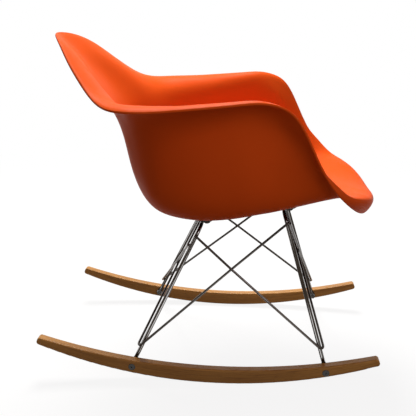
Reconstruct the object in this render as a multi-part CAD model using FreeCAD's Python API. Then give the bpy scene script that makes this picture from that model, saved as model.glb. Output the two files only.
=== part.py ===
import FreeCAD, Part
import math
import os

V = FreeCAD.Vector

# Frame: +X to the front of the chair, +Y to its left, +Z up, millimetres.
# The origin lies on the floor, under the middle of the overall box.

# Rockers. The chair rests on one point of the lower arc, a little in front of its middle.
ROCKER_RADIUS = 980.0
ROCKER_CONTACT_X = 20.4
ROCKER_FRONT_X = 345.9
ROCKER_REAR_X = -346.1
ROCKER_HEIGHT = 30.0
ROCKER_TIP_HEIGHT = 15.0
ROCKER_THICKNESS = 20.0
ROCKER_MID_Y = 192.4
ROCKER_INNER_Y = ROCKER_MID_Y - ROCKER_THICKNESS / 2
ROCKER_OUTER_Y = ROCKER_MID_Y + ROCKER_THICKNESS / 2
ROCKER_EDGE_ROUND = 3.0
ROCKER_TIP_ROUND = 6.0

# Wire base. The tops and joints give the place of a rod's axis.
LEG_DIAMETER = 8.0
LEG_FOOT_Y = ROCKER_INNER_Y - LEG_DIAMETER / 2
BRACE_DIAMETER = 5.0
HOOP_BEND_RADIUS = 26.0
HOOP_CORNER_Y = 114.0
FRONT_HOOP_TOP = (149.2, 335.0)
REAR_HOOP_TOP = (-18.0, 302.5)
FRONT_JOINT_Z = 316.0
REAR_JOINT_Z = 284.0
FRONT_CROSS_JOINT_Z = 314.0
REAR_CROSS_JOINT_Z = 263.0
FRONT_HAIRPIN_Z = 69.5
REAR_HAIRPIN_Z = 59.0
HAIRPIN_RADIUS = 7.4
BRACE_SWERVE_RADIUS = 150.0
BRACE_END_PAST_LEG = 3.0
WELD_BITE = 0.1
BRACE_FITTING_STEPS = 12

# Flattened leg ends and the bolts through the rockers.
FRONT_BOLT = (240.0, 34.5)
REAR_BOLT = (-149.2, 28.5)
LEG_TAB_THICKNESS = 4.0
LEG_TAB_WIDTH = 14.0
LEG_TAB_REACH = 13.0
LEG_END_ABOVE_BOLT = 8.0
LEG_KINK_ABOVE_BOLT = 22.0
LEG_KINK_RADIUS = 20.0
BOLT_DIAMETER = 6.0
BOLT_HOLE_DIAMETER = 6.4
BOLT_HEAD_DIAMETER = 13.6
BOLT_HEAD_HEIGHT = 3.4
BOLT_HEAD_ROUND = 0.85
BOLT_SOCKET_ACROSS_FLATS = 4.0
BOLT_SOCKET_DEPTH = 2.2
BOLT_RECESS_DEPTH = 2.6
BOLT_RECESS_DIAMETER = 14.4
BOLT_END_PAST_NUT = 1.5
WASHER_THICKNESS = 1.2
WASHER_DIAMETER = 12.0
NUT_ACROSS_FLATS = 10.0
NUT_HEIGHT = 5.0

# Seat mounts: plates on the hoops, screws, and rubber blocks bonded under the shell.
MOUNT_Y = 90.0
MOUNT_FROM_HOOP = 12.5
MOUNT_DIAMETER = 32.0
MOUNT_REACH = 15.0
PLATE_THICKNESS = 2.5
PLATE_DIAMETER = 28.0
INSERT_DIAMETER = 11.0
INSERT_HEIGHT = 4.5
SCREW_DIAMETER = 6.0
SCREW_HEAD_DIAMETER = 11.0
SCREW_HEAD_HEIGHT = 4.0
SCREW_HEAD_ROUND = 1.3
SCREW_SOCKET_ACROSS_FLATS = 4.0
SCREW_SOCKET_DEPTH = 2.4
SCREW_HOLE_DIAMETER = 6.6

# Seat shell: thickness and the lines that steer its upper surface.
SHELL_THICKNESS = 4.6
SHELL_COLUMNS = 48
SHELL_LEVELS = (0.04, 0.1, 0.18, 0.26, 0.34, 0.42, 0.5, 0.58, 0.66, 0.74, 0.8, 0.86,
                0.91, 0.955, 1.0)
SEAT_RING_SHARES = (0.2, 0.6)
RIM_TURNS = (30, 60, 90, 120, 150)
POLE_X = 35.0
POLE_Z = 327.0
POLE_SLOPE = 0.15

# Each line runs round the left half of the shell from the front middle to the back middle.
RIM_LINE = [
    (324, 0, 325), (314, 70, 330), (297, 120, 343), (279, 168, 362), (256, 213, 389),
    (231, 239, 421), (208, 254, 459), (183.5, 269, 508), (158.5, 281, 550.5), (124.5, 289, 574),
    (73, 297, 576.5), (15, 304, 571), (-45, 309, 565.5), (-100, 310, 561.5), (-144, 300, 561),
    (-181, 266, 565), (-218.5, 216, 589.5), (-258, 162, 629), (-297, 88, 666), (-321, 0, 677),
]
CREST_LINE = [
    (330, 0, 360.5), (321.5, 69, 368.5), (312, 121, 377), (293.5, 170, 386), (263, 210, 400),
    (234, 234, 427), (206, 248, 460), (179, 261, 506), (151, 271, 545.5), (117, 275, 572),
    (68, 271, 574), (12, 264, 566), (-45, 256, 559), (-98, 243, 556), (-135, 226, 556),
    (-168, 200, 562), (-200, 161, 582.5), (-233, 121, 608.5), (-266, 66, 632), (-281, 0, 633),
]
NECK_LINE = [
    (309, 0, 369.5), (303, 66, 374.5), (294, 116, 382.5), (275, 162, 391), (247, 200, 401),
    (219, 224, 428), (193, 238, 460), (164, 248, 502), (135, 253, 537), (99, 254, 550),
    (57, 251, 548), (8, 245, 543), (-44, 236, 539), (-90, 223, 537), (-124, 204, 537),
    (-153, 179, 542), (-181, 144, 556), (-209, 107, 571), (-237, 55, 585), (-245, 0, 588),
]
WALL_LINE = [
    (285, 0, 373), (278, 62, 376), (268, 108, 382), (249, 151, 387), (223, 189, 393),
    (192, 210, 410), (161, 223, 438), (128, 232, 466), (97, 238, 486), (66, 241, 496),
    (34, 239, 497), (0, 234, 495), (-38, 225, 494), (-78, 210, 493), (-111, 189, 495),
    (-137.5, 160, 499), (-161.5, 125, 504), (-180, 88, 509), (-192.5, 46, 512), (-197, 0, 513),
]
FILLET_LINE = [
    (245, 0, 372), (240, 57, 373.5), (230, 103, 376), (216, 143, 378), (195, 170.5, 378),
    (166, 188, 379), (136, 196, 378), (108, 197, 374), (80, 198, 367), (52, 197, 363),
    (22, 195, 361), (-10, 191, 360), (-42, 183, 360), (-73, 169, 361), (-100, 149, 363),
    (-119, 124, 366), (-134.5, 96, 368), (-145.5, 66, 369.5), (-152, 33, 370), (-154.5, 0, 370.5),
]
FLOOR_LINE = [
    (190, 0, 362.5), (187, 48, 362.5), (180, 88, 362.5), (168, 120, 361), (148, 142, 359),
    (122, 151, 354.5), (96, 154, 349), (72, 154, 343.5), (48, 154, 338.5), (25, 153, 335),
    (2, 152, 332.5), (-22, 150, 332), (-46, 143, 332), (-67, 129, 331), (-84, 111, 329.5),
    (-97, 91, 328), (-106, 69, 326.5), (-111, 46, 325), (-114, 23, 324), (-115, 0, 324),
]


def closed_ring(half_line):
    """Full ring of points from the line of the left half."""
    left = [V(*point) for point in half_line]
    right = [V(point.x, -point.y, point.z) for point in reversed(left[1:-1])]
    return left + right


def seat_ring(fraction):
    """Ring on the seat floor between its middle (0) and the floor line (1)."""
    pole = V(POLE_X, 0, POLE_Z)
    ring = []
    for edge in closed_ring(FLOOR_LINE):
        reach = edge - pole
        slope_rise = POLE_SLOPE * reach.x
        z = POLE_Z + slope_rise * fraction + (reach.z - slope_rise) * fraction ** 2
        ring.append(V(POLE_X + reach.x * fraction, reach.y * fraction, z))
    return ring


def chord_parameters(rows, closed):
    """Shared parameters from the mean spacing of neighbouring points over all rows."""
    count = len(rows[0])
    steps = count if closed else count - 1
    values = [0.0]
    for i in range(steps):
        mean = sum((row[(i + 1) % count] - row[i]).Length for row in rows) / len(rows)
        values.append(values[-1] + mean)
    return values


def spline(points, **options):
    """Smooth curve through points."""
    curve = Part.BSplineCurve()
    curve.interpolate(Points=points, **options)
    return curve


def ring_curves(rings):
    """One closed curve per ring, all with the same parameters, and their full turn."""
    around = chord_parameters(rings, True)
    curves = [spline(ring, PeriodicFlag=True, Parameters=around) for ring in rings]
    return curves, around[-1]


def spline_surface(rings):
    """Surface through closed rings between two end points."""
    curves, turn = ring_curves(rings[1:-1])
    nets = [curve.getPoles() for curve in curves]
    width = len(nets[0])
    rows = [rings[0] * width] + nets + [rings[-1] * width]
    columns = [list(column) for column in zip(*rows)]
    along = chord_parameters(columns, False)
    meridians = [spline(column, Parameters=along) for column in columns]
    surface = Part.BSplineSurface()
    surface.buildFromPolesMultsKnots(
        [curve.getPoles() for curve in meridians],
        curves[0].getMultiplicities(), meridians[0].getMultiplicities(),
        curves[0].getKnots(), meridians[0].getKnots(),
        True, False, 3, 3)
    return surface, turn, along


def meridian_rows(pole, lines):
    """Rings at even steps along the meridians that run from the pole over all the lines."""
    rings = [seat_ring(share) for share in SEAT_RING_SHARES]
    rings += [closed_ring(line) for line in lines]
    curves, turn = ring_curves(rings)
    meridians = []
    for i in range(SHELL_COLUMNS):
        spot = turn * i / SHELL_COLUMNS
        meridian = spline([pole] + [curve.value(spot) for curve in curves])
        meridians.append([meridian.value(meridian.LastParameter * level)
                          for level in SHELL_LEVELS])
    return [list(row) for row in zip(*meridians)]


def shell_shape():
    """Moulded shell: upper surface, rounded rim and lower surface as one closed skin."""
    pole = V(POLE_X, 0, POLE_Z)
    pole_below = pole + V(POLE_SLOPE, 0, -1).normalize() * SHELL_THICKNESS
    lines = [FLOOR_LINE, FILLET_LINE, WALL_LINE, NECK_LINE, CREST_LINE, RIM_LINE]
    above = meridian_rows(pole, lines)
    far_end = [above[-1][0]]
    upper, turn, along = spline_surface([[pole]] + above + [far_end])
    spots = chord_parameters(above, True)[:-1]
    depth = SHELL_THICKNESS if upper.normal(spots[0], along[1]).z < 0 else -SHELL_THICKNESS
    below = [[upper.value(spot, level) + upper.normal(spot, level) * depth for spot in spots]
             for level in along[1:-1]]
    edge_rings = []
    for degrees in RIM_TURNS:
        angle = math.radians(degrees)
        ring = []
        for before, top, under in zip(above[-2], above[-1], below[-1]):
            middle = (top + under) * 0.5
            up = (top - under) * 0.5
            out = top - before
            out = out - up * (out.dot(up) / up.dot(up))
            out = out.normalize() * up.Length
            ring.append(middle + up * math.cos(angle) + out * math.sin(angle))
        edge_rings.append(ring)
    rings = [[pole]] + above + edge_rings + below[::-1] + [[pole_below]]
    skin, turn, along = spline_surface(rings)
    bands = [along[0], along[len(above)], along[-1 - len(below)], along[-1]]
    quarters = [turn * i / 4 for i in range(5)]
    faces = [skin.toShape(start, end, low, high)
             for start, end in zip(quarters, quarters[1:])
             for low, high in zip(bands, bands[1:])]
    sewn = Part.makeCompound(faces)
    sewn.sewShape()
    solid = Part.Solid(sewn.Shells[0])
    if solid.Volume < 0:
        solid.reverse()
    return solid


def path(points, radii):
    """Wire of straight runs with an arc of the given radius at each inner point."""
    edges = []
    start = points[0]
    for before, corner, after, radius in zip(points, points[1:], points[2:], radii):
        one = (before - corner).normalize()
        two = (after - corner).normalize()
        half = one.getAngle(two) / 2
        tangent = radius / math.tan(half)
        middle = corner + (one + two).normalize() * (radius / math.sin(half) - radius)
        edges.append(Part.LineSegment(start, corner + one * tangent).toShape())
        arc = Part.Arc(corner + one * tangent, middle, corner + two * tangent)
        edges.append(arc.toShape())
        start = corner + two * tangent
    edges.append(Part.LineSegment(start, points[-1]).toShape())
    return Part.Wire(edges)


def rod(points, radii, diameter):
    """Round rod along a path."""
    spine = path(points, radii)
    heading = (points[1] - points[0]).normalize()
    section = Part.Wire(Part.makeCircle(diameter / 2, points[0], heading))
    return spine.makePipeShell([section], True, True)


def mirrored(shape):
    """The same shape on the right side of the chair."""
    return shape.mirror(V(0, 0, 0), V(0, 1, 0))


def slab(face, thickness):
    """Plate grown along +Y from a face in the XZ plane."""
    return face.extrude(V(0, thickness, 0))


def hexagon(across_flats, height, base, axis):
    """Hexagonal prism."""
    radius = across_flats / 2 / math.cos(math.radians(30))
    turns = [math.radians(60 * i) for i in range(7)]
    corners = [V(radius * math.cos(turn), radius * math.sin(turn), 0) for turn in turns]
    prism = Part.Face(Part.makePolygon(corners)).extrude(V(0, 0, height))
    prism.Placement = FreeCAD.Placement(base, FreeCAD.Rotation(V(0, 0, 1), axis))
    return prism


def rocker_point(x_angle, height):
    """Point of the rocker at an angle from its lowest point and a height above the lower arc."""
    reach = ROCKER_RADIUS - height
    return V(ROCKER_CONTACT_X + reach * math.sin(x_angle), 0,
             ROCKER_RADIUS - reach * math.cos(x_angle))


def rocker_left():
    """Curved wooden runner with two bolt holes, recessed on the outer side."""
    front = math.asin((ROCKER_FRONT_X - ROCKER_CONTACT_X) / ROCKER_RADIUS)
    rear = math.asin((ROCKER_REAR_X - ROCKER_CONTACT_X) / ROCKER_RADIUS)
    middle = (front + rear) / 2
    low_rear = rocker_point(rear, 0)
    low_front = rocker_point(front, 0)
    top_front = rocker_point(front, ROCKER_TIP_HEIGHT)
    top_rear = rocker_point(rear, ROCKER_TIP_HEIGHT)
    outline = Part.Wire([
        Part.Arc(low_rear, rocker_point(middle, 0), low_front).toShape(),
        Part.LineSegment(low_front, top_front).toShape(),
        Part.Arc(top_front, rocker_point(middle, ROCKER_HEIGHT), top_rear).toShape(),
        Part.LineSegment(top_rear, low_rear).toShape()])
    runner = slab(Part.Face(outline), ROCKER_THICKNESS)
    runner.translate(V(0, ROCKER_INNER_Y, 0))
    across = [edge for edge in runner.Edges if abs(edge.tangentAt(edge.FirstParameter).y) > 0.9]
    runner = runner.makeFillet(ROCKER_TIP_ROUND, across)
    faces = [face for face in runner.Faces if abs(face.normalAt(0, 0).y) > 0.99]
    rims = [edge for face in faces for edge in face.Edges]
    runner = runner.makeFillet(ROCKER_EDGE_ROUND, rims)
    for x, z in (FRONT_BOLT, REAR_BOLT):
        hole = Part.makeCylinder(BOLT_HOLE_DIAMETER / 2, 2 * ROCKER_THICKNESS,
                                 V(x, ROCKER_INNER_Y - ROCKER_THICKNESS / 2, z), V(0, 1, 0))
        recess = Part.makeCylinder(BOLT_RECESS_DIAMETER / 2, 2 * BOLT_RECESS_DEPTH,
                                   V(x, ROCKER_OUTER_Y - BOLT_RECESS_DEPTH, z), V(0, 1, 0))
        runner = runner.cut(hole).cut(recess)
    return runner


def leg_way(bolt, top):
    """Unit vector from the bolt to the hoop top, in the XZ plane."""
    return (V(top[0], 0, top[1]) - V(bolt[0], 0, bolt[1])).normalize()


def leg_kink(bolt, top):
    """Point of the left leg where it leaves the face of the rocker."""
    foot = V(bolt[0], LEG_FOOT_Y, bolt[1])
    return foot + leg_way(bolt, top) * LEG_KINK_ABOVE_BOLT


def leg_point(bolt, top, z):
    """Point of the left leg's axis at a height, and the leg's direction there."""
    kink = leg_kink(bolt, top)
    corner = V(top[0], HOOP_CORNER_Y, top[1])
    way = corner - kink
    return kink + way * ((z - kink.z) / way.z), way.normalize()


def hoop(bolt, top):
    """Bent rod: two legs with flattened, drilled ends and the run under the seat."""
    way = leg_way(bolt, top)
    foot = V(bolt[0], LEG_FOOT_Y, bolt[1])
    left = [foot + way * LEG_END_ABOVE_BOLT, leg_kink(bolt, top), V(top[0], HOOP_CORNER_Y, top[1])]
    right = [V(point.x, -point.y, point.z) for point in reversed(left)]
    radii = [LEG_KINK_RADIUS, HOOP_BEND_RADIUS, HOOP_BEND_RADIUS, LEG_KINK_RADIUS]
    bent = rod(left + right, radii, LEG_DIAMETER)
    half = LEG_TAB_WIDTH / 2
    side = V(way.z, 0, -way.x)
    centre = V(bolt[0], ROCKER_INNER_Y - LEG_TAB_THICKNESS, bolt[1])
    upper = centre + way * LEG_TAB_REACH
    neck = LEG_DIAMETER / 2
    outline = Part.Wire([
        Part.Arc(centre + side * half, centre - way * half, centre - side * half).toShape(),
        Part.LineSegment(centre - side * half, upper - side * neck).toShape(),
        Part.LineSegment(upper - side * neck, upper + side * neck).toShape(),
        Part.LineSegment(upper + side * neck, centre + side * half).toShape()])
    tab = slab(Part.Face(outline), LEG_TAB_THICKNESS)
    hole = Part.makeCylinder(BOLT_HOLE_DIAMETER / 2, 2 * LEG_TAB_THICKNESS,
                             centre - V(0, LEG_TAB_THICKNESS / 2, 0), V(0, 1, 0))
    tab = tab.cut(hole)
    return bent.fuse([tab, mirrored(tab)]).removeSplitter()


def brace_left(own, other, side):
    """Corner and two ends of the thin wire that runs round the outside of one left leg.

    own and other hold bolt, hoop top, heights of the side joint, of the cross joint and of the
    hairpin for the wire's own leg and for the other leg on the same side. side is +1 where the
    wire meets the front of the right leg and -1 where it meets its back.
    """
    reach = (LEG_DIAMETER + BRACE_DIAMETER) / 2 - WELD_BITE
    pin, own_way = leg_point(own[0], own[1], own[4])
    side_joint, side_way = leg_point(other[0], other[1], other[2])
    side_joint = side_joint + V(0, side_way.z, -side_way.y).normalize() * reach
    left_joint = leg_point(own[0], own[1], own[3])[0]
    far_joint = V(left_joint.x, -left_joint.y, left_joint.z)
    far_joint = far_joint + V(own_way.z, 0, -own_way.x).normalize() * (reach * side)
    leg = Part.LineSegment(leg_kink(own[0], own[1]), left_joint).toShape()
    outward = pin * 2 - side_joint - far_joint
    outward = V(outward.x, outward.y, 0).normalize()
    corner = pin + outward * (HAIRPIN_RADIUS + reach)
    for _ in range(BRACE_FITTING_STEPS):
        bend = path([side_joint, corner, far_joint], [HAIRPIN_RADIUS])
        corner = corner + outward * (reach - bend.distToShape(leg)[0])
    side_end = side_joint + (side_joint - corner).normalize() * BRACE_END_PAST_LEG
    far_end = far_joint + (far_joint - corner).normalize() * BRACE_END_PAST_LEG
    return corner, side_end, far_end


def crossing_share(a, b, c, d):
    """Where the lines a-b and c-d cross when seen from the side, as shares of their lengths."""
    one = b - a
    two = d - c
    gap = c - a
    turn = one.x * two.z - one.z * two.x
    return (gap.x * two.z - gap.z * two.x) / turn, (gap.x * one.z - gap.z * one.x) / turn


def side_crossing(front, rear):
    """Where the two wires of one side pass each other, touching: a point for each wire."""
    shares = crossing_share(front[0], front[1], rear[0], rear[1])
    front_spot = front[0] + (front[1] - front[0]) * shares[0]
    rear_spot = rear[0] + (rear[1] - rear[0]) * shares[1]
    middle_y = (front_spot.y + rear_spot.y) / 2
    apart = V(0, (BRACE_DIAMETER - WELD_BITE) / 2, 0)
    return (V(front_spot.x, middle_y, front_spot.z) + apart,
            V(rear_spot.x, middle_y, rear_spot.z) - apart)


def middle_crossing(outer, inner, way, end):
    """Where the two wires between one pair of legs pass each other: a point for each wire.

    way is the legs' direction in the XZ plane. end is +1 for front legs and -1 for rear legs.
    """
    spots = [corner + (far - corner) * (corner.y / (corner.y - far.y))
             for corner, _, far in (outer, inner)]
    middle = (spots[0] + spots[1]) * 0.5
    apart = V(way.z, 0, -way.x) * ((BRACE_DIAMETER - WELD_BITE) / 2 * end)
    return middle + apart, middle - apart


def brace_wires():
    """The four brace wires by name.

    Between one pair of legs, the left wire ends on the outer side of the right leg and the right
    wire on the inner side of the left leg, so that they pass each other. The left lines of the
    right wires are mirrored.
    """
    front = (FRONT_BOLT, FRONT_HOOP_TOP, FRONT_JOINT_Z, FRONT_CROSS_JOINT_Z, FRONT_HAIRPIN_Z)
    rear = (REAR_BOLT, REAR_HOOP_TOP, REAR_JOINT_Z, REAR_CROSS_JOINT_Z, REAR_HAIRPIN_Z)
    radii = [BRACE_SWERVE_RADIUS, HAIRPIN_RADIUS, BRACE_SWERVE_RADIUS]
    wires = {}
    lines = {"left": {"front": brace_left(front, rear, 1), "rear": brace_left(rear, front, -1)},
             "right": {"front": brace_left(front, rear, -1), "rear": brace_left(rear, front, 1)}}
    middles = {"front": middle_crossing(lines["left"]["front"], lines["right"]["front"],
                                        leg_way(FRONT_BOLT, FRONT_HOOP_TOP), 1),
               "rear": middle_crossing(lines["left"]["rear"], lines["right"]["rear"],
                                       leg_way(REAR_BOLT, REAR_HOOP_TOP), -1)}
    for place, (side, pair) in enumerate(lines.items()):
        crossings = side_crossing(pair["front"], pair["rear"])
        for name, side_cross in zip(("front", "rear"), crossings):
            corner, side_end, far_end = pair[name]
            wire = rod([side_end, side_cross, corner, middles[name][place], far_end], radii,
                       BRACE_DIAMETER)
            wires["brace_wire_" + name + "_" + side] = wire if side == "left" else mirrored(wire)
    return wires


def seat_tilt():
    """Direction towards the front along the plane of the seat mounts, and its normal."""
    front = V(FRONT_HOOP_TOP[0], 0, FRONT_HOOP_TOP[1])
    rear = V(REAR_HOOP_TOP[0], 0, REAR_HOOP_TOP[1])
    ahead = (front - rear).normalize()
    return ahead, V(-ahead.z, 0, ahead.x)


def seat_mount_left(top, shell):
    """Plate, rubber block, insert, washer and screw of one left seat mount."""
    ahead, up = seat_tilt()
    axis = V(top[0], MOUNT_Y, top[1]) + ahead * MOUNT_FROM_HOOP
    low = axis + up * (LEG_DIAMETER / 2 - WELD_BITE)
    seat = low + up * PLATE_THICKNESS
    plate = Part.makeCylinder(PLATE_DIAMETER / 2, PLATE_THICKNESS, low, up)
    plate = plate.cut(Part.makeCylinder(SCREW_HOLE_DIAMETER / 2, 3 * PLATE_THICKNESS,
                                        low - up * PLATE_THICKNESS, up))
    insert = Part.makeCylinder(INSERT_DIAMETER / 2, INSERT_HEIGHT, seat, up)
    block = Part.makeCylinder(MOUNT_DIAMETER / 2, MOUNT_REACH, seat, up).cut(shell)
    block = min(block.Solids, key=lambda solid: solid.CenterOfMass.z).cut(insert)
    under = low - up * WASHER_THICKNESS
    screw = Part.makeCylinder(SCREW_DIAMETER / 2, WASHER_THICKNESS + PLATE_THICKNESS + INSERT_HEIGHT,
                              under, up)
    insert = insert.cut(screw)
    head = Part.makeCylinder(SCREW_HEAD_DIAMETER / 2, SCREW_HEAD_HEIGHT,
                             under - up * SCREW_HEAD_HEIGHT, up)
    lowest = min(head.Edges, key=lambda edge: edge.CenterOfMass.dot(up))
    head = head.makeFillet(SCREW_HEAD_ROUND, [lowest])
    socket = hexagon(SCREW_SOCKET_ACROSS_FLATS, SCREW_SOCKET_DEPTH,
                     under - up * SCREW_HEAD_HEIGHT, up)
    screw = screw.fuse(head).removeSplitter().cut(socket)
    washer = Part.makeCylinder(WASHER_DIAMETER / 2, WASHER_THICKNESS, under, up)
    washer = washer.cut(Part.makeCylinder(SCREW_HOLE_DIAMETER / 2, 3 * WASHER_THICKNESS,
                                          under - up * WASHER_THICKNESS, up))
    return {"plate": plate, "block": block, "insert": insert, "screw": screw, "washer": washer}


def rocker_fixing_left(bolt):
    """Bolt with its head in the outer recess, washer and nut on the leg's flattened end."""
    out = V(0, 1, 0)
    seat = V(bolt[0], ROCKER_OUTER_Y - BOLT_RECESS_DEPTH, bolt[1])
    tab = V(bolt[0], ROCKER_INNER_Y - LEG_TAB_THICKNESS, bolt[1])
    washer_face = tab - out * WASHER_THICKNESS
    nut_face = washer_face - out * NUT_HEIGHT
    tip = nut_face - out * BOLT_END_PAST_NUT
    shank = Part.makeCylinder(BOLT_DIAMETER / 2, (seat - tip).Length, tip, out)
    head = Part.makeCylinder(BOLT_HEAD_DIAMETER / 2, BOLT_HEAD_HEIGHT, seat, out)
    outermost = max(head.Edges, key=lambda edge: edge.CenterOfMass.y)
    head = head.makeFillet(BOLT_HEAD_ROUND, [outermost])
    socket = hexagon(BOLT_SOCKET_ACROSS_FLATS, BOLT_SOCKET_DEPTH,
                     seat + out * BOLT_HEAD_HEIGHT, out * -1)
    screw = shank.fuse(head).removeSplitter().cut(socket)
    hole = Part.makeCylinder(BOLT_DIAMETER / 2, 2 * NUT_HEIGHT, tip, out)
    ring_hole = Part.makeCylinder(BOLT_HOLE_DIAMETER / 2, 3 * WASHER_THICKNESS,
                                  washer_face - out * WASHER_THICKNESS, out)
    washer = Part.makeCylinder(WASHER_DIAMETER / 2, WASHER_THICKNESS, washer_face, out)
    nut = hexagon(NUT_ACROSS_FLATS, NUT_HEIGHT, nut_face, out).cut(hole)
    return {"bolt": screw, "washer": washer.cut(ring_hole), "nut": nut}


def both_sides(shapes):
    """A group of left solids and their mirror images."""
    return Part.makeCompound(shapes + [mirrored(shape) for shape in shapes])


def main():
    os.makedirs("parts", exist_ok=True)
    nodes = {"seat_shell": shell_shape()}
    rocker = rocker_left()
    nodes["rocker_left"] = rocker
    nodes["rocker_right"] = mirrored(rocker)
    nodes["front_leg_hoop"] = hoop(FRONT_BOLT, FRONT_HOOP_TOP)
    nodes["rear_leg_hoop"] = hoop(REAR_BOLT, REAR_HOOP_TOP)
    nodes.update(brace_wires())

    mounts = {"front": seat_mount_left(FRONT_HOOP_TOP, nodes["seat_shell"]),
              "rear": seat_mount_left(REAR_HOOP_TOP, nodes["seat_shell"])}
    for place, mount in mounts.items():
        nodes["mount_plate_" + place + "_left"] = mount["plate"]
        nodes["mount_plate_" + place + "_right"] = mirrored(mount["plate"])
        nodes["shock_mount_" + place + "_left"] = mount["block"]
        nodes["shock_mount_" + place + "_right"] = mirrored(mount["block"])
    for group, piece in (("mount_inserts", "insert"), ("seat_screws", "screw"),
                         ("seat_screw_washers", "washer")):
        nodes[group] = both_sides([mount[piece] for mount in mounts.values()])

    fixings = [rocker_fixing_left(bolt) for bolt in (FRONT_BOLT, REAR_BOLT)]
    for group, piece in (("rocker_bolts", "bolt"), ("rocker_bolt_washers", "washer"),
                         ("rocker_bolt_nuts", "nut")):
        nodes[group] = both_sides([fixing[piece] for fixing in fixings])

    for name, shape in nodes.items():
        shape.exportStep("parts/" + name + ".step")


main()
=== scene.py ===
import math

import bmesh
import bpy
from mathutils import Matrix, Vector, noise
from mathutils.bvhtree import BVHTree


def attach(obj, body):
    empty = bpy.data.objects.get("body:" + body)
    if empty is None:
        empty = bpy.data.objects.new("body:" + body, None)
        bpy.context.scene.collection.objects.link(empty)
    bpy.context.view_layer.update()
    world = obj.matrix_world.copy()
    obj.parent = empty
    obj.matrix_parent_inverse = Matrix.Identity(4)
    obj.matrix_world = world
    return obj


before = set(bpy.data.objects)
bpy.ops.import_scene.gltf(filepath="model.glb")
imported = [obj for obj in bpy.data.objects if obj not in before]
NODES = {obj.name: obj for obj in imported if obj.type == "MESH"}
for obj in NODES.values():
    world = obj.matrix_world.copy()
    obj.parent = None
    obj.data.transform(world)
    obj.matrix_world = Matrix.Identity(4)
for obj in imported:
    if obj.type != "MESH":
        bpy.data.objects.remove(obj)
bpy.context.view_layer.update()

# Camera, solved from the photograph: metres and degrees, for a square image.
CAMERA_PLACE = (0.09562, -1.40362, 0.72143)
CAMERA_YAW = -4.3896
CAMERA_PITCH = 16.3207
CAMERA_ROLL = 0.41885
CAMERA_LENS = 58.2
CAMERA_SENSOR = 36.0

# Centre and radius of the rockers' arcs, which the grain follows.
ROCKER_CENTRE = (0.0204, 0.0, 0.98)
ROCKER_ARC = 0.98

# Weld beads: how near two pieces touch, how far one weld reaches, and its bead, in metres.
BEAD_REACH = 0.0007
BEAD_SPREAD = 0.012
BEAD_RADIUS = 0.0032
BEAD_UNEVENNESS = 0.16
BEAD_LUMPS_PER_METRE = 420.0
BEAD_SEED_STEP = 3.1
BEAD_SEED_SKEW = 0.7

# Colours of the shell.
SHELL_ORANGE = (0.78, 0.094, 0.01, 1)
SHELL_HANDLED = (0.73, 0.083, 0.008, 1)
# Paler orange on the rims: partly rubbed wear, partly a painted highlight.
SHELL_RUBBED_AND_HIGHLIGHT = (0.95, 0.26, 0.075, 1)
SHELL_DUST = (0.75, 0.6, 0.5, 1)
SHELL_SHEEN_TINT = (1.0, 0.7, 0.45, 1)

# Colours of the rockers' wood, and its grain: repeats per metre along and across the grain.
WOOD_PALE = (0.5, 0.242, 0.06, 1)
WOOD_DEEP = (0.37, 0.172, 0.04, 1)
WOOD_STREAK = (0.24, 0.105, 0.03, 1)
WOOD_PORE = (0.12, 0.05, 0.016, 1)
WOOD_RUBBED = (0.62, 0.35, 0.13, 1)
LACQUER_TINT = (1.0, 0.8, 0.55, 1)
GRAIN_BANDS = (2.2, 62.0)
GRAIN_STREAKS = (9.0, 420.0)
GRAIN_PORES = (55.0, 1500.0)

# Colours of the chromed rods and wires, whose pale and deep pairs are painted reflection bands, the
# rubber and the fasteners, and the chrome's haze.
LEG_PAINTED_REFLECTION_LIGHT = (0.62, 0.61, 0.6, 1)
LEG_PAINTED_REFLECTION_DARK = (0.032, 0.024, 0.018, 1)
WIRE_PAINTED_REFLECTION_LIGHT = (0.2, 0.185, 0.17, 1)
WIRE_PAINTED_REFLECTION_DARK = (0.032, 0.025, 0.02, 1)
CHROME_SPOT = (0.12, 0.1, 0.085, 1)
CHROME_HAZE = 0.08
RUBBER_BLACK = (0.022, 0.021, 0.02, 1)
RUBBER_BLOOM = (0.2, 0.18, 0.16, 1)
BLACK_OXIDE = (0.05, 0.047, 0.043, 1)
BLACK_OXIDE_WORN = (0.34, 0.33, 0.31, 1)
ZINC = (0.5, 0.5, 0.49, 1)
ZINC_WORN = (0.65, 0.64, 0.62, 1)

# Studio: floor, surroundings and soft lights. The floor fades to white between two radii.
FLOOR_HALF = 9.0
FLOOR_DROP = 0.0005
FLOOR_FADE = (0.6, 2.2)
FLOOR_WHITE_SHARE = 0.88
FLOOR_PALE = (0.9, 0.9, 0.9, 1)
FLOOR_BOUNCE = (0.2, 0.18, 0.165, 1)
WHITE = (1, 1, 1, 1)
ROOM_COLOUR = (1.0, 0.92, 0.86, 1)
ROOM_LEVEL = 0.11
LIGHTS = [
    {"name": "key_light", "watts": 107.0, "size": 1.0, "place": (-0.35, 1.3, 2.4),
     "target": (0, 0, 0.3), "colour": (1.0, 0.98, 0.95)},
    {"name": "back_light", "watts": 3.0, "size": 1.0, "place": (0.3, 2.4, 1.3),
     "target": (0, 0, 0.35), "colour": (1.0, 0.97, 0.92)},
    {"name": "fill_light", "watts": 17.5, "size": 1.2, "place": (1.2, -2.1, 1.6),
     "target": (0, 0, 0.4), "colour": (1.0, 0.87, 0.95)},
]

# Places of a Mix node's colour sockets.
MIX_SHARE, MIX_FIRST, MIX_SECOND, MIX_RESULT = 0, 6, 7, 2


def add(tree, kind, values=None, **settings):
    """New node with its settings, and a value or a feeding socket for each given input."""
    node = tree.nodes.new(kind)
    for name, setting in settings.items():
        setattr(node, name, setting)
    for name, value in (values or {}).items():
        if isinstance(value, bpy.types.NodeSocket):
            tree.links.new(value, node.inputs[name])
        else:
            node.inputs[name].default_value = value
    return node


def sums(tree, operation, first, second=0.0, third=0.0, clamp=False):
    """Result of one sum of two or three numbers."""
    return add(tree, "ShaderNodeMath", {0: first, 1: second, 2: third},
               operation=operation, use_clamp=clamp).outputs[0]


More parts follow.
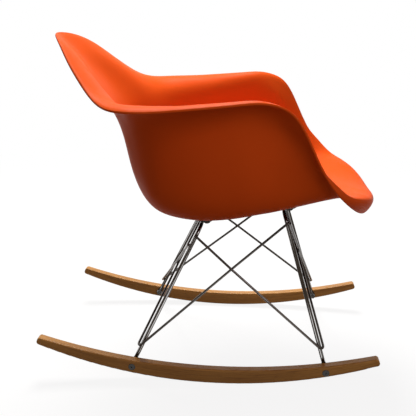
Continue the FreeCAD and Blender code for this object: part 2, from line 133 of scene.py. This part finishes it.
def part_of(tree, mask, share):
    """Mask lowered to a share of itself."""
    return sums(tree, "MULTIPLY", mask, share)


def blend_colours(tree, share, first, second):
    """First colour where share is 0, second where it is 1."""
    return add(tree, "ShaderNodeMix", {MIX_SHARE: share, MIX_FIRST: first, MIX_SECOND: second},
               data_type="RGBA").outputs[MIX_RESULT]


def between(tree, value, low, high, start=0.0, end=1.0):
    """Value stretched softly from low..high to start..end, and held beyond both."""
    return add(tree, "ShaderNodeMapRange",
               {"Value": value, "From Min": low, "From Max": high, "To Min": start, "To Max": end},
               interpolation_type="SMOOTHSTEP").outputs["Result"]


def speckle(tree, place, scale, detail=2.0, roughness=0.5, distortion=0.0):
    """Noise from 0 to 1 over a place."""
    return add(tree, "ShaderNodeTexNoise",
               {"Vector": place, "Scale": scale, "Detail": detail, "Roughness": roughness,
                "Distortion": distortion}).outputs["Fac"]


def new_group(name, inputs, outputs):
    """Node group with named sockets, its entry sockets and its exit sockets."""
    group = bpy.data.node_groups.new(name, "ShaderNodeTree")
    for label, kind, value in inputs:
        socket = group.interface.new_socket(name=label, in_out="INPUT", socket_type=kind)
        if value is not None:
            socket.default_value = value
    for label, kind in outputs:
        group.interface.new_socket(name=label, in_out="OUTPUT", socket_type=kind)
    entry = group.nodes.new("NodeGroupInput").outputs
    leave = group.nodes.new("NodeGroupOutput").inputs
    return group, entry, leave


def build_pebble():
    """Fine moulded or cast surface: small soft bumps with a coarser swell under them."""
    group, entry, leave = new_group(
        "fine_pebble",
        [("Place", "NodeSocketVector", None), ("Scale", "NodeSocketFloat", 900.0),
         ("Swell", "NodeSocketFloat", 0.3)],
        [("Height", "NodeSocketFloat")])
    fine = speckle(group, entry["Place"], entry["Scale"], detail=3.0, roughness=0.6)
    cells = add(group, "ShaderNodeTexVoronoi",
                {"Vector": entry["Place"], "Scale": entry["Scale"], "Smoothness": 0.7},
                feature="SMOOTH_F1").outputs["Distance"]
    wide_scale = part_of(group, entry["Scale"], share=0.06)
    wide = speckle(group, entry["Place"], wide_scale)
    swell = sums(group, "MULTIPLY", wide, entry["Swell"])
    rough = sums(group, "MULTIPLY_ADD", cells, 0.5, fine)
    group.links.new(sums(group, "ADD", rough, swell), leave["Height"])
    return group


def build_handling():
    """Patches left by hands and cloths: a mask for gloss and colour."""
    group, entry, leave = new_group(
        "handling_patches",
        [("Place", "NodeSocketVector", None), ("Scale", "NodeSocketFloat", 9.0),
         ("Contrast", "NodeSocketFloat", 0.5)],
        [("Mask", "NodeSocketFloat")])
    broad = speckle(group, entry["Place"], entry["Scale"], detail=5.0, roughness=0.62,
                    distortion=0.4)
    low = sums(group, "SUBTRACT", 0.5, part_of(group, entry["Contrast"], share=0.35))
    high = sums(group, "SUBTRACT", 1.0, low)
    group.links.new(between(group, broad, low, high), leave["Mask"])
    return group


def build_edge_wear():
    """Rubbed edges: 1 on sharp corners, broken up by noise."""
    group, entry, leave = new_group(
        "edge_wear",
        [("Place", "NodeSocketVector", None), ("Radius", "NodeSocketFloat", 0.001),
         ("Amount", "NodeSocketFloat", 0.5), ("Breakup", "NodeSocketFloat", 250.0)],
        [("Mask", "NodeSocketFloat")])
    rounded = add(group, "ShaderNodeBevel", {"Radius": entry["Radius"]}, samples=4)
    flat = add(group, "ShaderNodeNewGeometry").outputs["Normal"]
    agree = add(group, "ShaderNodeVectorMath", {0: rounded.outputs["Normal"], 1: flat},
                operation="DOT_PRODUCT").outputs["Value"]
    corner = between(group, agree, 0.995, 0.86)
    broken = speckle(group, entry["Place"], entry["Breakup"], detail=4.0, roughness=0.6)
    patches = between(group, broken, 0.35, 0.62)
    worn = sums(group, "MULTIPLY", sums(group, "MULTIPLY", corner, patches), entry["Amount"],
                clamp=True)
    group.links.new(worn, leave["Mask"])
    return group


def build_dust():
    """Thin dust that settles on what faces up."""
    group, entry, leave = new_group(
        "settled_dust",
        [("Place", "NodeSocketVector", None), ("Amount", "NodeSocketFloat", 0.1)],
        [("Mask", "NodeSocketFloat")])
    flat = add(group, "ShaderNodeNewGeometry").outputs["Normal"]
    upward = add(group, "ShaderNodeSeparateXYZ", {0: flat}).outputs["Z"]
    facing = between(group, upward, 0.3, 1.0)
    clouds = speckle(group, entry["Place"], scale=60.0, detail=6.0, roughness=0.7)
    clumps = between(group, clouds, 0.3, 0.75, start=0.35, end=1.0)
    grains = between(group, speckle(group, entry["Place"], scale=1400.0), 0.45, 0.7)
    spread = sums(group, "MULTIPLY", clumps, sums(group, "MULTIPLY_ADD", grains, 0.5, 0.5))
    film = sums(group, "MULTIPLY", sums(group, "MULTIPLY", facing, spread), entry["Amount"])
    group.links.new(film, leave["Mask"])
    return group


def build_drift():
    """Slow change of a colour in lightness and hue over the piece."""
    group, entry, leave = new_group(
        "colour_drift",
        [("Colour", "NodeSocketColor", (0.5, 0.5, 0.5, 1)), ("Place", "NodeSocketVector", None),
         ("Scale", "NodeSocketFloat", 6.0), ("Amount", "NodeSocketFloat", 0.1)],
        [("Colour", "NodeSocketColor")])
    patch = speckle(group, entry["Place"], entry["Scale"], detail=4.0, roughness=0.55)
    centred = sums(group, "SUBTRACT", patch, 0.5)
    shift = sums(group, "MULTIPLY", centred, entry["Amount"])
    value = sums(group, "ADD", sums(group, "MULTIPLY", shift, 2.0), 1.0)
    hue = sums(group, "ADD", part_of(group, shift, share=0.06), 0.5)
    tinted = add(group, "ShaderNodeHueSaturation",
                 {"Hue": hue, "Value": value, "Color": entry["Colour"]}).outputs["Color"]
    group.links.new(tinted, leave["Colour"])
    return group


def build_painted_reflection_bands():
    """Painted reflection: pale and deep bands that stand in for the surroundings a polished rod
    mirrors, which run along it and differ round it by the way its surface faces.
    """
    group, entry, leave = new_group(
        "rod_painted_reflection_bands",
        [("Place", "NodeSocketVector", None), ("Narrowness", "NodeSocketFloat", 2.4),
         ("Threshold", "NodeSocketFloat", 0.5)],
        [("Mask", "NodeSocketFloat")])
    facing = add(group, "ShaderNodeNewGeometry").outputs["Normal"]
    round_rod = add(group, "ShaderNodeVectorMath", {0: facing, 3: entry["Narrowness"]},
                    operation="SCALE").outputs["Vector"]
    along_rod = add(group, "ShaderNodeVectorMath", {0: entry["Place"], 3: 4.0},
                    operation="SCALE").outputs["Vector"]
    spot = add(group, "ShaderNodeVectorMath", {0: round_rod, 1: along_rod},
               operation="ADD").outputs["Vector"]
    bands = speckle(group, spot, scale=1.0, detail=3.0, roughness=0.6)
    high = sums(group, "ADD", entry["Threshold"], 0.09)
    group.links.new(between(group, bands, entry["Threshold"], high), leave["Mask"])
    return group


PEBBLE = build_pebble()
PAINTED_REFLECTION_BANDS = build_painted_reflection_bands()
HANDLING = build_handling()
EDGE_WEAR = build_edge_wear()
DUST = build_dust()
DRIFT = build_drift()


def use(tree, group, output, **values):
    """One output of a shared effect placed in a material with that material's own values."""
    return add(tree, "ShaderNodeGroup", values, node_tree=group).outputs[output]


def new_finish(name, **constants):
    """Material with an empty tree, its surface shader and the place of each point."""
    material = bpy.data.materials.new(name)
    material.use_nodes = True
    tree = material.node_tree
    tree.nodes.clear()
    surface = add(tree, "ShaderNodeBsdfPrincipled",
                  {label.replace("_", " "): value for label, value in constants.items()})
    out = add(tree, "ShaderNodeOutputMaterial")
    tree.links.new(surface.outputs[0], out.inputs["Surface"])
    place = add(tree, "ShaderNodeTexCoord").outputs["Object"]
    return material, tree, surface, place


def feed(tree, surface, **sockets):
    """Joins each named input of the surface shader to what feeds it."""
    for name, socket in sockets.items():
        tree.links.new(socket, surface.inputs[name.replace("_", " ")])


def bump(tree, height, distance, strength):
    """Normal from a height, with the real depth of the relief in metres."""
    return add(tree, "ShaderNodeBump",
               {"Height": height, "Distance": distance, "Strength": strength}).outputs["Normal"]


def shell_finish():
    """Satin orange moulded plastic with a fine skin texture, faint marks of use, and paler rubbed
    rims that are partly a painted highlight.
    """
    material, tree, surface, place = new_finish(
        "satin_orange_shell", Specular_IOR_Level=0.01, IOR=1.46, Specular_Tint=SHELL_SHEEN_TINT)
    orange = use(tree, DRIFT, "Colour", Colour=SHELL_ORANGE, Place=place, Scale=3.0, Amount=0.05)
    handled = use(tree, HANDLING, "Mask", Place=place, Scale=7.0, Contrast=0.5)
    rubbed = use(tree, EDGE_WEAR, "Mask", Place=place, Radius=0.0018, Amount=0.3, Breakup=60.0)
    dust = use(tree, DUST, "Mask", Place=place, Amount=0.008)
    colour = blend_colours(tree, part_of(tree, handled, share=0.12), orange, SHELL_HANDLED)
    # Paler rims: partly wear, partly a painted highlight along the rims.
    colour = blend_colours(tree, part_of(tree, rubbed, share=0.35), colour, SHELL_RUBBED_AND_HIGHLIGHT)
    colour = blend_colours(tree, dust, colour, SHELL_DUST)
    gloss = between(tree, handled, 0.0, 1.0, start=0.47, end=0.37)
    gloss = sums(tree, "ADD", gloss, part_of(tree, dust, share=0.8))
    relief = use(tree, PEBBLE, "Height", Place=place, Scale=1100.0, Swell=0.8)
    feed(tree, surface, Base_Color=colour, Roughness=gloss,
         Normal=bump(tree, relief, distance=0.00006, strength=0.4))
    return material


def rocker_grain(tree, place):
    """Place along the rocker's arc, across it and from its centre, for grain that bends with it."""
    offset = add(tree, "ShaderNodeVectorMath", {0: place, 1: ROCKER_CENTRE},
                 operation="SUBTRACT").outputs["Vector"]
    parts = add(tree, "ShaderNodeSeparateXYZ", {0: offset}).outputs
    down = sums(tree, "MULTIPLY", parts["Z"], -1.0)
    angle = sums(tree, "ARCTAN2", parts["X"], down)
    along = sums(tree, "MULTIPLY", angle, ROCKER_ARC)
    radius = sums(tree, "SQRT", sums(tree, "ADD", sums(tree, "POWER", parts["X"], 2.0),
                                     sums(tree, "POWER", parts["Z"], 2.0)))
    return add(tree, "ShaderNodeCombineXYZ", {0: along, 1: parts["Y"], 2: radius}).outputs[0]


def stretched(tree, place, repeats):
    """Place scaled so that noise on it is drawn out along the grain."""
    along, across = repeats
    return add(tree, "ShaderNodeVectorMath", {0: place, 1: (along, across, across)},
               operation="MULTIPLY").outputs["Vector"]


def rocker_finish():
    """Lacquered pale hardwood, with bands, streaks and short pores that follow the bend."""
    material, tree, surface, place = new_finish(
        "lacquered_rocker_wood", Specular_IOR_Level=0.1, Specular_Tint=LACQUER_TINT,
        Coat_Roughness=0.22, Coat_IOR=1.5)
    grain = rocker_grain(tree, place)
    bands = speckle(tree, stretched(tree, grain, GRAIN_BANDS), scale=1.0, detail=3.0,
                    distortion=0.6)
    streaks = speckle(tree, stretched(tree, grain, GRAIN_STREAKS), scale=1.0, detail=4.0,
                      roughness=0.65, distortion=0.3)
    pores = speckle(tree, stretched(tree, grain, GRAIN_PORES), scale=1.0)
    colour = blend_colours(tree, between(tree, bands, 0.3, 0.7), WOOD_PALE, WOOD_DEEP)
    streak = between(tree, streaks, 0.46, 0.66, start=0.0, end=0.6)
    colour = blend_colours(tree, streak, colour, WOOD_STREAK)
    pore = between(tree, pores, 0.6, 0.72)
    colour = blend_colours(tree, part_of(tree, pore, share=0.55), colour, WOOD_PORE)
    colour = use(tree, DRIFT, "Colour", Colour=colour, Place=place, Scale=5.0, Amount=0.12)
    rubbed = use(tree, EDGE_WEAR, "Mask", Place=place, Radius=0.0022, Amount=0.8, Breakup=160.0)
    colour = blend_colours(tree, part_of(tree, rubbed, share=0.35), colour, WOOD_RUBBED)
    handled = use(tree, HANDLING, "Mask", Place=place, Scale=14.0, Contrast=0.6)
    gloss = between(tree, handled, 0.0, 1.0, start=0.42, end=0.32)
    gloss = sums(tree, "ADD", gloss, part_of(tree, rubbed, share=0.15))
    relief = sums(tree, "SUBTRACT", part_of(tree, streaks, share=0.5), pore)
    coat = between(tree, rubbed, 0.0, 1.0, start=0.1, end=0.03)
    feed(tree, surface, Base_Color=colour, Roughness=gloss, Coat_Weight=coat,
         Normal=bump(tree, relief, distance=0.00008, strength=0.5))
    return material


def chrome_finish(name, painted_bright, painted_dark, threshold, low_gloss):
    """Plated steel rod: painted reflection bands of pale and deep, slight haze and dull spots."""
    material, tree, surface, place = new_finish(name, Metallic=1.0)
    # Painted reflection: these bands pick the rod's colour and stand in for mirrored surroundings.
    bands = use(tree, PAINTED_REFLECTION_BANDS, "Mask", Place=place, Narrowness=2.4, Threshold=threshold)
    handled = use(tree, HANDLING, "Mask", Place=place, Scale=22.0, Contrast=0.7)
    grains = speckle(tree, place, scale=480.0, detail=3.0, roughness=0.7)
    spots = between(tree, grains, 0.66, 0.78)
    colour = blend_colours(tree, bands, painted_dark, painted_bright)
    colour = blend_colours(tree, part_of(tree, spots, share=0.5), colour, CHROME_SPOT)
    colour = use(tree, DRIFT, "Colour", Colour=colour, Place=place, Scale=30.0, Amount=0.15)
    gloss = between(tree, handled, 0.0, 1.0, start=low_gloss, end=low_gloss + CHROME_HAZE)
    gloss = sums(tree, "ADD", gloss, part_of(tree, spots, share=0.3))
    relief = use(tree, PEBBLE, "Height", Place=place, Scale=1600.0, Swell=1.0)
    feed(tree, surface, Base_Color=colour, Roughness=gloss,
         Normal=bump(tree, relief, distance=0.00002, strength=0.4))
    return material


def rubber_finish():
    """Black mount rubber, matt, with a bloom on what faces up."""
    material, tree, surface, place = new_finish("mount_rubber_black", Specular_IOR_Level=0.25)
    black = use(tree, DRIFT, "Colour", Colour=RUBBER_BLACK, Place=place, Scale=40.0, Amount=0.4)
    dust = use(tree, DUST, "Mask", Place=place, Amount=0.25)
    colour = blend_colours(tree, dust, black, RUBBER_BLOOM)
    handled = use(tree, HANDLING, "Mask", Place=place, Scale=60.0, Contrast=0.5)
    relief = use(tree, PEBBLE, "Height", Place=place, Scale=1600.0, Swell=0.6)
    gloss = between(tree, handled, 0.0, 1.0, start=0.62, end=0.82)
    feed(tree, surface, Base_Color=colour, Roughness=gloss,
         Normal=bump(tree, relief, distance=0.0001, strength=0.8))
    return material


def steel_finish(name, colour, worn_colour, wear, low_gloss, high_gloss, metal):
    """Small fasteners: blacked or zinc plated steel with edges rubbed to bare metal."""
    material, tree, surface, place = new_finish(name, Specular_IOR_Level=0.5)
    base = use(tree, DRIFT, "Colour", Colour=colour, Place=place, Scale=90.0, Amount=0.35)
    rubbed = use(tree, EDGE_WEAR, "Mask", Place=place, Radius=0.0007, Amount=wear, Breakup=700.0)
    handled = use(tree, HANDLING, "Mask", Place=place, Scale=120.0, Contrast=0.7)
    colour = blend_colours(tree, rubbed, base, worn_colour)
    gloss = between(tree, handled, 0.0, 1.0, start=low_gloss, end=high_gloss)
    relief = use(tree, PEBBLE, "Height", Place=place, Scale=2600.0, Swell=0.8)
    metallic = between(tree, rubbed, 0.0, 1.0, start=metal, end=1.0)
    feed(tree, surface, Base_Color=colour, Roughness=gloss, Metallic=metallic,
         Normal=bump(tree, relief, distance=0.00003, strength=0.6))
    return material


def dress_cad_pieces(finishes):
    """Gives each CAD piece the finish of the first listed start that its name has."""
    for name, piece in NODES.items():
        start = next(key for key in finishes if name.startswith(key))
        for slot in piece.material_slots:
            slot.material = finishes[start]


def mesh_tree(piece):
    """Search tree over a CAD piece's faces, in the frame's metres."""
    return BVHTree.FromPolygons([vertex.co for vertex in piece.data.vertices],
                                [list(face.vertices) for face in piece.data.polygons])


def contact_spots(piece, neighbour):
    """Middle points of the places where one CAD piece touches another."""
    tree = mesh_tree(neighbour)
    spots = []
    for vertex in piece.data.vertices:
        spot, _, _, gap = tree.find_nearest(vertex.co)
        if gap > BEAD_REACH:
            continue
        near = [group for group in spots if (group[0] - vertex.co).length < BEAD_SPREAD]
        if near:
            near[0].append((vertex.co + spot) / 2)
        else:
            spots.append([(vertex.co + spot) / 2])
    return [sum(group, Vector()) / len(group) for group in spots]


def weld_bead(shape, middle, seed):
    """Small uneven bead of weld metal added to a mesh."""
    made = bmesh.ops.create_icosphere(shape, subdivisions=3, radius=BEAD_RADIUS,
                                      matrix=Matrix.Translation(middle))
    for vertex in made["verts"]:
        away = vertex.co - middle
        lump = noise.noise(away * BEAD_LUMPS_PER_METRE + Vector((seed, seed * BEAD_SEED_SKEW, 0)))
        swell = 1.0 + BEAD_UNEVENNESS * lump
        vertex.co = middle + away * swell


def weld_beads():
    """One piece with the beads of every place where wires and hoops are welded."""
    wires = [name for name in sorted(NODES) if name.startswith("brace_wire_")]
    hoops = ["front_leg_hoop", "rear_leg_hoop"]
    pairs = [(wire, hoop) for wire in wires for hoop in hoops]
    pairs += [(one, two) for i, one in enumerate(wires) for two in wires[i + 1:]]
    shape = bmesh.new()
    seed = 0
    for one, two in pairs:
        for spot in contact_spots(NODES[one], NODES[two]):
            seed += 1
            weld_bead(shape, spot, seed * BEAD_SEED_STEP)
    mesh = bpy.data.meshes.new("brace_welds")
    shape.to_mesh(mesh)
    shape.free()
    mesh.shade_smooth()
    piece = bpy.data.objects.new("brace_welds", mesh)
    bpy.context.scene.collection.objects.link(piece)
    return piece


def rays_that_show(tree):
    """1 for rays that see a surface directly, in a reflection or through glass."""
    rays = add(tree, "ShaderNodeLightPath").outputs
    return sums(tree, "MAXIMUM", rays["Is Camera Ray"],
                sums(tree, "MAXIMUM", rays["Is Glossy Ray"], rays["Is Transmission Ray"]))


def floor_finish():
    """Pale floor that keeps a soft shadow under the chair and fades to white further out."""
    material = bpy.data.materials.new("pale_studio_floor")
    material.use_nodes = True
    tree = material.node_tree
    tree.nodes.clear()
    place = add(tree, "ShaderNodeTexCoord").outputs["Object"]
    reach = add(tree, "ShaderNodeVectorMath", {0: place}, operation="LENGTH").outputs["Value"]
    near, far = FLOOR_FADE
    white_share = between(tree, reach, near, far, start=FLOOR_WHITE_SHARE, end=1.0)
    pale = add(tree, "ShaderNodeBsdfDiffuse", {"Color": FLOOR_PALE}).outputs[0]
    glow = add(tree, "ShaderNodeEmission", {"Color": WHITE, "Strength": 1.0}).outputs[0]
    seen = add(tree, "ShaderNodeMixShader", {0: white_share, 1: pale, 2: glow}).outputs[0]
    bounce = add(tree, "ShaderNodeBsdfDiffuse", {"Color": FLOOR_BOUNCE}).outputs[0]
    lit = add(tree, "ShaderNodeMixShader", {0: rays_that_show(tree), 1: bounce, 2: seen}).outputs[0]
    clear = add(tree, "ShaderNodeBsdfTransparent").outputs[0]
    below = add(tree, "ShaderNodeNewGeometry").outputs["Backfacing"]
    both = add(tree, "ShaderNodeMixShader", {0: below, 1: lit, 2: clear}).outputs[0]
    out = add(tree, "ShaderNodeOutputMaterial")
    tree.links.new(both, out.inputs["Surface"])
    return material


def studio_floor():
    """Wide floor under the chair."""
    mesh = bpy.data.meshes.new("studio_floor")
    half = FLOOR_HALF
    mesh.from_pydata([(-half, -half, 0), (half, -half, 0), (half, half, 0), (-half, half, 0)],
                     [], [(0, 1, 2, 3)])
    mesh.materials.append(floor_finish())
    floor = bpy.data.objects.new("studio_floor", mesh)
    floor.location.z = -FLOOR_DROP
    bpy.context.scene.collection.objects.link(floor)


def studio_room():
    """White surroundings where they are seen, at a plain light level for everything else."""
    world = bpy.data.worlds.new("studio_room")
    bpy.context.scene.world = world
    world.use_nodes = True
    tree = world.node_tree
    tree.nodes.clear()
    white = add(tree, "ShaderNodeBackground", {"Color": WHITE, "Strength": 1.0}).outputs[0]
    level = add(tree, "ShaderNodeBackground",
                {"Color": ROOM_COLOUR, "Strength": ROOM_LEVEL}).outputs[0]
    mixed = add(tree, "ShaderNodeMixShader",
                {0: rays_that_show(tree), 1: level, 2: white}).outputs[0]
    out = add(tree, "ShaderNodeOutputWorld")
    tree.links.new(mixed, out.inputs["Surface"])


def soft_light(name, watts, size, place, target, colour):
    """Square soft light aimed at a point."""
    data = bpy.data.lights.new(name, "AREA")
    data.energy = watts
    data.size = size
    data.color = colour
    light = bpy.data.objects.new(name, data)
    light.location = place
    light.rotation_euler = (Vector(target) - Vector(place)).to_track_quat("-Z", "Y").to_euler()
    bpy.context.scene.collection.objects.link(light)


def photo_camera():
    """Camera at the photograph's place and angle."""
    yaw, pitch, roll = (math.radians(angle) for angle in (CAMERA_YAW, CAMERA_PITCH, CAMERA_ROLL))
    ahead = Vector((math.sin(yaw) * math.cos(pitch), math.cos(yaw) * math.cos(pitch),
                    -math.sin(pitch)))
    level = Vector((math.cos(yaw), -math.sin(yaw), 0))
    upright = level.cross(ahead)
    right = level * math.cos(roll) + upright * math.sin(roll)
    up = upright * math.cos(roll) - level * math.sin(roll)
    data = bpy.data.cameras.new("photo_camera")
    data.lens = CAMERA_LENS
    data.sensor_width = CAMERA_SENSOR
    camera = bpy.data.objects.new("photo_camera", data)
    turn = Matrix((right, up, -ahead)).transposed()
    camera.matrix_world = Matrix.Translation(CAMERA_PLACE) @ turn.to_4x4()
    bpy.context.scene.collection.objects.link(camera)
    bpy.context.scene.camera = camera


# Chrome for the legs and the wires, both with painted reflection bands.
LEG_CHROME = chrome_finish("polished_leg_chrome", LEG_PAINTED_REFLECTION_LIGHT, LEG_PAINTED_REFLECTION_DARK,
                           threshold=0.55, low_gloss=0.1)
WIRE_CHROME = chrome_finish("brace_wire_chrome", WIRE_PAINTED_REFLECTION_LIGHT, WIRE_PAINTED_REFLECTION_DARK,
                            threshold=0.56, low_gloss=0.16)
BLACK_STEEL = steel_finish("black_oxide_steel", BLACK_OXIDE, BLACK_OXIDE_WORN,
                           wear=0.7, low_gloss=0.32, high_gloss=0.5, metal=0.5)
ZINC_STEEL = steel_finish("zinc_plated_steel", ZINC, ZINC_WORN,
                          wear=0.5, low_gloss=0.3, high_gloss=0.45, metal=1.0)
dress_cad_pieces({
    "seat_shell": shell_finish(),
    "rocker_bolt_washers": ZINC_STEEL,
    "rocker_bolt": BLACK_STEEL,
    "rocker_": rocker_finish(),
    "front_leg_hoop": LEG_CHROME,
    "rear_leg_hoop": LEG_CHROME,
    "mount_plate": LEG_CHROME,
    "brace_wire": WIRE_CHROME,
    "shock_mount": rubber_finish(),
    "mount_inserts": ZINC_STEEL,
    "seat_screw_washers": ZINC_STEEL,
    "seat_screws": BLACK_STEEL,
})

welds = weld_beads()
welds.data.materials.append(WIRE_CHROME)
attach(welds, "root")

studio_floor()
studio_room()
for light in LIGHTS:
    soft_light(**light)
photo_camera()
bpy.context.scene.view_settings.view_transform = "Standard"
